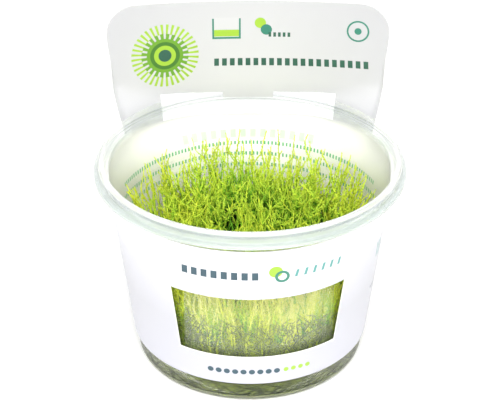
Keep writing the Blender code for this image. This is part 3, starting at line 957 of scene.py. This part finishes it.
def onWall(turn, height, depth):
    radius = wallInside(height) - depth
    return np.stack([radius * np.cos(turn), radius * np.sin(turn), height], axis=1)


def clearOfWall(root, bend, tip, gaps):
    for points, gap in zip((root, bend, tip), gaps):
        keepInside(points, gap)


mossShades = {
    "lift": 0.42,  # how much each thing counts: height, place on the shoot, its own tone, patches and specks
    "rise": 0.30,
    "own": 0.20,
    "patch": (0.10, 75.0, 0.38, 0.62),  # share, scale for about 13 mm, and its contrast
    "speck": (0.14, 900.0, 0.35, 0.65),  # for about 1 mm
    "stops": (0.18, 0.42, 0.66, 0.96),
}


def mossMaterial(name, heights, shades, glow=0.0):
    s = mossShades
    material, tree = newMaterial(name)
    place = addNode(tree, "ShaderNodeTexCoord", give="Object")
    height = addNode(tree, "ShaderNodeSeparateXYZ", (place,), "Z")
    lift = addNode(tree, "ShaderNodeMapRange",
                   {"Value": height, "From Min": heights[0], "From Max": heights[1]})
    blend = addNode(tree, "ShaderNodeMath", (lift, s["lift"]), operation="MULTIPLY")
    for key in ("rise", "own"):
        source = addNode(tree, "ShaderNodeAttribute", give="Fac", attribute_name=key)
        blend = addNode(tree, "ShaderNodeMath", (source, s[key], blend), operation="MULTIPLY_ADD")
    for share, scale, low, high in (s["patch"], s["speck"]):
        noise = addNode(tree, "ShaderNodeTexNoise", {"Vector": place, "Scale": scale, "Detail": 1.0})
        source = addNode(tree, "ShaderNodeMapRange", {"Value": noise, "From Min": low, "From Max": high})
        blend = addNode(tree, "ShaderNodeMath", (source, share, blend), operation="MULTIPLY_ADD")
    colour = addNode(tree, "ShaderNodeValToRGB", (blend,), stops=list(zip(s["stops"], shades)))
    # glow sets the leaves' translucency, and a painted glow: an emission of the moss's own colour
    finishMaterial(tree, {"Roughness": 0.5, "Specular IOR Level": 0.25, "Base Color": colour,
                          "Subsurface Weight": glow, "Subsurface Radius": (1.0, 1.0, 0.5),
                          "Subsurface Scale": 0.0015, "Emission Color": colour,
                          "Emission Strength": 0.12 * glow})
    return material


rng = np.random.default_rng(mossSettings["seed"])
# thin moist leaves one cell thick: dark and old low down, lime where they are young; the dark low down is also
# painted shade deep in the mat
shootMaterial = mossMaterial("leafyMossShoots", (0.024, 0.050), ("#102A0A", "#6EAE26", "#CAE848", "#CEDC3A"))
# painted light: a brighter, glowing copy of the moss colours for the strands behind the window, as if lit
# through it
wallMaterial = mossMaterial("wallMossShoots", (0.010, 0.034), ("#74901C", "#BCD024", "#E0EC3E", "#FAFC7C"),
                            glow=0.8)
oldMaterial = mossMaterial("oldMossStrands", (0.010, 0.040), ("#4E5C24", "#6C7C34", "#92A24A", "#C2CE68"))

# the matted core, dark because little light gets between the shoots
coreSettings = {
    "depth": 0.0075,  # below the solid's top
    "side": [(0.0015, 0.0078), (0.0335, 0.0078), (0.0342, 0.0090), (0.0345, 0.0180)],  # radius and height
    "brow": (0.0335, 0.0015),
    "topRadius": 0.0325,
    "topStep": 0.0020,
    "topRings": 16,
    "topMiddle": 0.0012,
    "segments": 96,
    "tangleScale": 600.0,  # threads about 1.5 mm apart
    "deepShades": [(0.3, "#1E2A0A"), (0.5, "#3C5010"), (0.7, "#62791C")],
    # painted light: the side of the core by the wall is lighter than its shaded top, as if lit through the
    # plastic
    "sideShades": [(0.35, "#8A9C34"), (0.5, "#C2D24C"), (0.62, "#ECF286")],
    "sideFrom": {"From Min": 0.0318, "From Max": 0.0328},
}
deselectAll()
coreTop = mossSettings["top"] - coreSettings["depth"]
coreRings = coreSettings["side"] + [(coreSettings["brow"][0], coreTop - coreSettings["brow"][1])]
coreRings += [(coreSettings["topRadius"] - coreSettings["topStep"] * k, coreTop)
              for k in range(coreSettings["topRings"])]
coreRings += [(coreSettings["topMiddle"], coreTop)]
core = turnedShell("mossCore", coreRings, coreSettings["segments"])
for vertex in core.data.vertices:
    if vertex.co.z > coreTop - 0.0001:
        vertex.co.z += float(mossHeight(vertex.co.x, vertex.co.y)) - mossSettings["top"]
selectOnly(core)
bpy.ops.object.shade_smooth()
coreMaterial, tree = newMaterial("mattedMossCore")  # old brown-green growth in the shade
place = addNode(tree, "ShaderNodeTexCoord", give="Object")
tangle = addNode(tree, "ShaderNodeTexNoise",
                 {"Vector": place, "Scale": coreSettings["tangleScale"], "Detail": 4.0, "Distortion": 2.0})
deepColour = addNode(tree, "ShaderNodeValToRGB", (tangle,), stops=coreSettings["deepShades"])
sideColour = addNode(tree, "ShaderNodeValToRGB", (tangle,), stops=coreSettings["sideShades"])
flatPlace = addNode(tree, "ShaderNodeVectorMath", (place, (1, 1, 0)), operation="MULTIPLY")
fromAxis = addNode(tree, "ShaderNodeVectorMath", (flatPlace,), "Value", operation="LENGTH")
atSide = addNode(tree, "ShaderNodeMapRange", {"Value": fromAxis, **coreSettings["sideFrom"]})
coreColour = addNode(tree, "ShaderNodeMix", {0: atSide, 6: deepColour, 7: sideColour}, 2, data_type="RGBA")
relief = addNode(tree, "ShaderNodeBump", {"Strength": 0.8, "Distance": 0.0006, "Height": tangle})
finishMaterial(tree, {"Roughness": 0.8, "Base Color": coreColour, "Normal": relief})
setMaterials(core, coreMaterial)
fitPiece(core, "moss", "moss")

# tall shoots in loose bunches along the tufts of the solid
tallSettings = {
    "perTuft": 4,
    "scatter": (0.0045, 0.0034, 0.0048),  # of root, middle and tip
    "shorter": 0.014,
    "shorterPower": 0.7,
    "sunk": 0.003,
    "gaps": (0.0015, 0.0015, 0.0012),  # to the wall, of root, middle and tip
    "shape": {"wave": 0.0019, "size": (1.25, 1.7), "turns": (0.9, 2.6)},
    "growth": {"leafFrom": 0.15, "stemPoints": 15},
    "darker": 0.2,
    "darkerAtMound": 1.3,
    "moundPlace": 0.020,
    "moundWidth": 0.012,
}
s = tallSettings
root, bend, tip = (np.repeat(points, s["perTuft"], axis=0) for points in tuftLayout().transpose(1, 0, 2))
count = len(root)
for points, scatter in zip((root, bend, tip), s["scatter"]):
    points[:, :2] += randomDisc(rng, count, scatter)
tip[:, 2] -= rng.uniform(0, 1, count) ** s["shorterPower"] * s["shorter"]
root[:, 2] -= s["sunk"]
clearOfWall(root, bend, tip, s["gaps"])
tallShoots = shootSet(root, bend, tip, rng, **s["shape"])
away = root[:, 0] ** 2 + (root[:, 1] - s["moundPlace"]) ** 2
tallShoots["own"] -= s["darker"] + s["darkerAtMound"] * np.exp(-away / (2 * s["moundWidth"] ** 2))
pieces = [growShoots("tallShoots", tallShoots, rng, **s["growth"])]

# side branches that fork from the tall shoots
branchSettings = {
    "count": 420,
    "forkAt": (0.45, 0.85),  # share of the tall shoot's length
    "reach": 0.0050,
    "tipRise": (0.002, 0.0065),
    "bendShare": 0.75,
    "bendRise": (0.0005, 0.0015),
    "bendGap": 0.0012,
    "tipGap": 0.0010,
    "shape": {"wave": 0.0003, "size": (0.7, 0.95)},
    "growth": {"stemPoints": 6},
}
s = branchSettings
parent = rng.integers(0, count, s["count"])
share = rng.uniform(*s["forkAt"], s["count"])
root = shootPoints({key: value[parent] for key, value in tallShoots.items()}, share[:, None])[:, 0]
aside = randomDisc(rng, s["count"], s["reach"])
tip = root + np.column_stack([aside, rng.uniform(*s["tipRise"], s["count"])])
bend = root + np.column_stack([aside * s["bendShare"], rng.uniform(*s["bendRise"], s["count"])])
keepInside(bend, s["bendGap"])
keepInside(tip, s["tipGap"])
branches = shootSet(root, bend, tip, rng, **s["shape"])
pieces.append(growShoots("sideBranches", branches, rng, **s["growth"]))

# shoots that lean on the wall all round, and the few that stand out above the rest
rimSettings = {
    "count": 370,
    "rootHeight": 0.0265,
    "rootDepth": (0.0030, 0.0065),
    "tipHeight": (0.038, 0.0575),
    "tipTurn": (-0.14, 0.14),
    "tipDepth": (0.0010, 0.0045),
    "bendIn": (0.93, 1.0),
    "gaps": (0.0012, 0.0012, 0.0009),
    "standingIn": 0.90,  # the roots of the shoots that stand out are nearer the axis than their tips
    "standingRoot": 0.027,
    "standingBow": 0.35,
    "shape": {"wave": 0.0016, "size": (1.2, 1.7), "turns": (0.9, 2.6)},
    "growth": {"leafFrom": 0.1, "stemPoints": 13},
    # their tips, and how far their roots are to the side, all in mm
    "standing": [
        ((-40, 3, 57), 4), ((-36, 6, 61), 2), ((-31, 19, 58), 3), ((-27, 22, 60), -2), ((-19, 28, 55), 3),
        ((-11, 29, 61), -3), ((-3, 31, 63), -4), ((9, 31, 63), 5), ((16, 27, 62), -3), ((21, 23, 62), -6),
        ((26, 26, 57), 4), ((32, 20, 55), -4), ((35, 10, 60), -2), ((37, 13, 55), -5), ((40, 4, 55), -3),
    ],
}
s = rimSettings
turn = rng.uniform(0, math.tau, s["count"])
height = rng.uniform(*s["tipHeight"], s["count"])
root = onWall(turn, np.full(s["count"], s["rootHeight"]), rng.uniform(*s["rootDepth"], s["count"]))
tipTurn = turn + rng.uniform(*s["tipTurn"], s["count"])
tip = onWall(tipTurn, height, rng.uniform(*s["tipDepth"], s["count"]))
bend = (root + tip) / 2
bend[:, :2] *= rng.uniform(*s["bendIn"], (s["count"], 1))
keepInside(bend, s["gaps"][1])
tips = np.array([place for place, _ in s["standing"]]) * 0.001
roots = tips * (s["standingIn"], s["standingIn"], 0.0) + (0, 0, s["standingRoot"])
roots[:, 0] += np.array([side for _, side in s["standing"]]) * 0.001
middles = (tips + roots) / 2
middles[:, 0] += (roots[:, 0] - tips[:, 0]) * s["standingBow"]
root = np.concatenate([root, roots])
bend = np.concatenate([bend, middles])
tip = np.concatenate([tip, tips])
keepInside(root, s["gaps"][0])
keepInside(tip, s["gaps"][2])
rimShoots = shootSet(root, bend, tip, rng, **s["shape"])
pieces.append(growShoots("rimShoots", rimShoots, rng, **s["growth"]))

# the canopy: clumps of short crowded shoots that part at their tips, with hollows between, darkened by painted
# shade
canopySettings = {
    "parts": 4,
    "clumps": 85,  # in each part
    "shootsPerClump": 10,
    "radius": 0.0388,
    "clumpRadius": 0.0026,
    "clumpLift": (-0.0012, 0.0028),
    "rise": (0.0005, 0.0075),
    "sunk": (0.007, 0.010),
    "moundRise": 0.0085,
    "moundPlace": 0.024,
    "moundWidth": 0.014,
    "hollowDepth": 0.0055,
    "lean": 0.0030,
    "clumpLean": 0.0020,
    "spread": 0.9,
    "gather": 0.5,
    "bendScatter": 0.0010,
    "bendRise": 0.0012,
    "gaps": (0.0015, 0.0012, 0.0012),
    "shape": {"wave": 0.0011, "size": (0.68, 1.02), "turns": (1.2, 2.8)},
    "growth": {"leafFrom": 0.2, "stemPoints": 8},
    # hollows, lower and darkened by painted shade: place and width in mm
    "hollows": [((-7.5, 12.0), 2.6), ((-4.0, 19.0), 2.4), ((-9.0, 3.0), 2.2), ((-2.5, 33.0), 3.0),
                ((10.0, 8.0), 1.8), ((19.0, 10.0), 1.8), ((-20.0, 9.0), 1.8)],
    # what makes a shoot's colour lighter or darker than its neighbours'
    "clumpTone": (-0.7, 1.2, 0.7),
    "ownTone": 0.6,
    "moundTone": -1.4,
    "hollowPaintedShade": -1.9,
    "edgeTone": 1.1,
    "toneLimits": (-2.0, 1.6),
}


def bump(spot, x, y, width):
    return np.exp(-((spot[:, 0] - x) ** 2 + (spot[:, 1] - y) ** 2) / (2 * width ** 2))


s = canopySettings
for part in range(s["parts"]):
    clumps = s["clumps"]
    centre = randomDisc(rng, clumps, s["radius"])
    turn = np.arctan2(centre[:, 1], centre[:, 0]) / 4 + part * math.pi / 2  # a quarter of the disc each
    away = np.hypot(centre[:, 0], centre[:, 1])
    centre = np.stack([away * np.cos(turn), away * np.sin(turn)], axis=1)
    owner = np.repeat(np.arange(clumps), s["shootsPerClump"])
    count = len(owner)
    out = randomDisc(rng, count, s["clumpRadius"])
    spot = centre[owner] + out
    ground = mossHeight(spot[:, 0], spot[:, 1])
    mound = bump(spot, 0, s["moundPlace"], s["moundWidth"])
    hollow = sum(bump(spot, x / 1000, y / 1000, width / 1000) for (x, y), width in s["hollows"])
    clumpLift = rng.uniform(*s["clumpLift"], clumps)[owner] - s["hollowDepth"] * hollow
    rise = rng.uniform(*s["rise"], count) + clumpLift + s["moundRise"] * mound * rng.uniform(0.3, 1, count)
    lean = out * s["spread"] + randomDisc(rng, count, s["lean"])
    lean += randomDisc(rng, clumps, s["clumpLean"])[owner]
    root = np.column_stack([spot - out * s["gather"], ground - rng.uniform(*s["sunk"], count)])
    tip = np.column_stack([spot + lean, ground + rise])
    bend = (root + tip) / 2
    bend[:, :2] = spot + randomDisc(rng, count, s["bendScatter"])
    bend[:, 2] += s["bendRise"]
    clearOfWall(root, bend, tip, s["gaps"])
    canopy = shootSet(root, bend, tip, rng, **s["shape"])
    darkest, lightest, clumpShare = s["clumpTone"]
    tone = rng.uniform(darkest, lightest, clumps)[owner] * clumpShare + canopy["own"] * s["ownTone"]
    # painted shade: darker in the hollows
    tone += s["moundTone"] * mound + s["hollowPaintedShade"] * hollow
    tone += s["edgeTone"] * (away[owner] / s["radius"]) ** 2
    canopy["own"] = np.clip(tone, *s["toneLimits"])
    pieces.append(growShoots(f"canopyShoots{part + 1}", canopy, rng, **s["growth"]))
for piece in pieces:
    setMaterials(piece, shootMaterial)

# strands that climb the wall, seen through the window
goldenShare = 0.618034
frontTurn = math.radians(-90) + sleeveSettings["windowTurn"]
wallSettings = {
    "count": 440,
    "frontReach": 0.78,
    "depth": (0.0009, 0.0042),
    "low": (0.0090, 0.0240),
    "high": (0.0330, 0.0500),
    "rootDeeper": 0.0008,
    "tipTurn": (-0.08, 0.08),
    "bendTurn": (-0.06, 0.06),
    "shape": {"wave": 0.0012, "size": (1.1, 1.9), "turns": (0.6, 1.5)},
    "shadeFrom": 0.56,  # beside the window the strands are in the sleeve's shade
    "shade": 1.5,
}
s = wallSettings
order = np.arange(s["count"])
evenly = (order * goldenShare) % 1 * 2 - 1
turn = np.where(order % 4 > 0, frontTurn + evenly * s["frontReach"], evenly * math.pi)
depth = rng.uniform(*s["depth"], s["count"])
low = rng.uniform(*s["low"], s["count"])
high = rng.uniform(*s["high"], s["count"])
root = onWall(turn, low, depth + s["rootDeeper"])
tip = onWall(turn + rng.uniform(*s["tipTurn"], s["count"]), high, depth)
bend = onWall(turn + rng.uniform(*s["bendTurn"], s["count"]), (low + high) / 2, depth)
climbing = shootSet(root, bend, tip, rng, **s["shape"])
climbing["own"] -= np.where(np.abs(turn - frontTurn) > s["shadeFrom"], s["shade"], 0.0)
climbers = growShoots("wallShoots", climbing, rng)
setMaterials(climbers, wallMaterial)

# the low tangle of old strands behind the window and above the gel
tangleSettings = {
    "count": 700,
    "start": 0.3,
    "frontReach": 0.80,
    "depth": (0.0006, 0.0022),
    "low": (0.0085, 0.0270),
    "lowest": 0.0082,
    "tipTurn": (-0.22, 0.22),
    "tipRise": (-0.001, 0.008),
    "bendTurn": (-0.12, 0.12),
    "bendRise": (0.000, 0.006),
    "shape": {"wave": 0.0013, "size": (0.6, 1.0)},
    "growth": {"leafFrom": 0.6, "stemPoints": 8},
}
s = tangleSettings
order = np.arange(s["count"])
evenly = (order * goldenShare + s["start"]) % 1 * 2 - 1
turn = np.where(order % 4 > 0, frontTurn + evenly * s["frontReach"], evenly * math.pi)
depth = rng.uniform(*s["depth"], s["count"])
low = rng.uniform(*s["low"], s["count"])
root = onWall(turn, low, depth)
tipTurn = turn + rng.uniform(*s["tipTurn"], s["count"])
tip = onWall(tipTurn, low + rng.uniform(*s["tipRise"], s["count"]), depth)
bendTurn = turn + rng.uniform(*s["bendTurn"], s["count"])
bend = onWall(bendTurn, low + rng.uniform(*s["bendRise"], s["count"]), depth)
for points in (root, bend, tip):
    points[:, 2] = np.maximum(points[:, 2], s["lowest"])
tangled = growShoots("oldStrands", shootSet(root, bend, tip, rng, **s["shape"]), rng, **s["growth"])
setMaterials(tangled, oldMaterial)

# dark strands caught in the face of the gel: grown flat, along X for the way round, then wrapped on the wall
strandSettings = {
    "count": 400,
    "flatHeight": 0.005,
    "reach": (0.003, 0.0075),
    "middle": (0.0022, 0.0078),
    "sway": (-0.005, 0.005),
    "limits": (0.0024, 0.0068),
    "depth": 0.00016,
    "shape": {"wave": 0.0, "size": (0.62, 0.88)},
    "growth": {"leafFrom": 0.9, "stemPoints": 12},
}
s = strandSettings
gelRadius = wallInside(s["flatHeight"])
along = rng.uniform(0, math.tau * gelRadius, s["count"])
slope = rng.uniform(-1, 1, s["count"])
reach = rng.uniform(*s["reach"], s["count"])
middleHeight = rng.uniform(*s["middle"], s["count"])
flat = np.zeros(s["count"])
root = np.column_stack([along - reach, flat, middleHeight - slope * reach])
tip = np.column_stack([along + reach, flat, middleHeight + slope * reach])
bend = np.column_stack([along, flat, middleHeight + rng.uniform(*s["sway"], s["count"])])
gelStrands = growShoots("gelStrands", shootSet(root, bend, tip, rng, **s["shape"]), rng, **s["growth"])
flatPlaces = np.empty(len(gelStrands.data.vertices) * 3)
gelStrands.data.vertices.foreach_get("co", flatPlaces)
flatPlaces = flatPlaces.reshape(-1, 3)
height = np.clip(flatPlaces[:, 2], *s["limits"])
thinner = cupSettings["wall"] - cupSettings["footWall"]
wrapped = onWall(flatPlaces[:, 0] / gelRadius, height, s["depth"] - thinner + flatPlaces[:, 1])
gelStrands.data.vertices.foreach_set("co", wrapped.ravel())
gelStrands.data.update()
strandShades = ("#121A06", "#1C280A", "#2C3812", "#5E6A2C")
strandMaterial = mossMaterial("sunkenMossStrands", (0.000, 0.010), strandShades)
setMaterials(gelStrands, strandMaterial)

for piece in pieces + [climbers, tangled, gelStrands]:
    fitPiece(piece, "moss", "moss")
print("moss ready")
